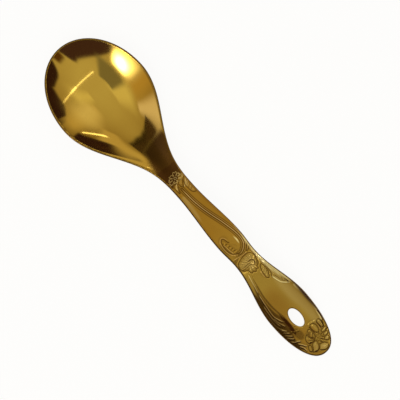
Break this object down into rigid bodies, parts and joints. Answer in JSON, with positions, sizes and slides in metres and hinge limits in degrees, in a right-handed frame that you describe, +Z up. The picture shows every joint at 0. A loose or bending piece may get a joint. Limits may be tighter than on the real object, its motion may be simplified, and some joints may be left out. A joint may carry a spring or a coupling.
{
  "type": "rice serving spoon",
  "caption": "Gold-finished polished steel serving spoon with a deep oval bowl, an arched crowned handle with raised floral scrollwork and an oval hanging hole.",
  "frame": {"origin": "on the table under the middle of the spoon's length, where it lies at rest on its bowl and its handle's end", "axes": "+X from the bowl's tip to the handle's end, +Y to the left of that, +Z up out of the bowl"},
  "size_m": [0.24, 0.061, 0.0209],
  "materials": {
    "gold_steel": "polished",
    "gold_relief": "polished"
  },
  "bodies": {
    "root": {"bowl": "gold_steel", "neck": "gold_steel", "stem": "gold_steel", "grip": "gold_steel", "neck_sprig": "gold_relief", "stem_scroll": "gold_relief", "scroll_leaf": "gold_relief", "waist_blossom": "gold_relief", "waist_leaves": "gold_relief", "edge_ribs": "gold_relief", "edge_strands": "gold_relief", "end_blossom": "gold_relief", "end_leaves": "gold_relief"}
  },
  "joints": []
}
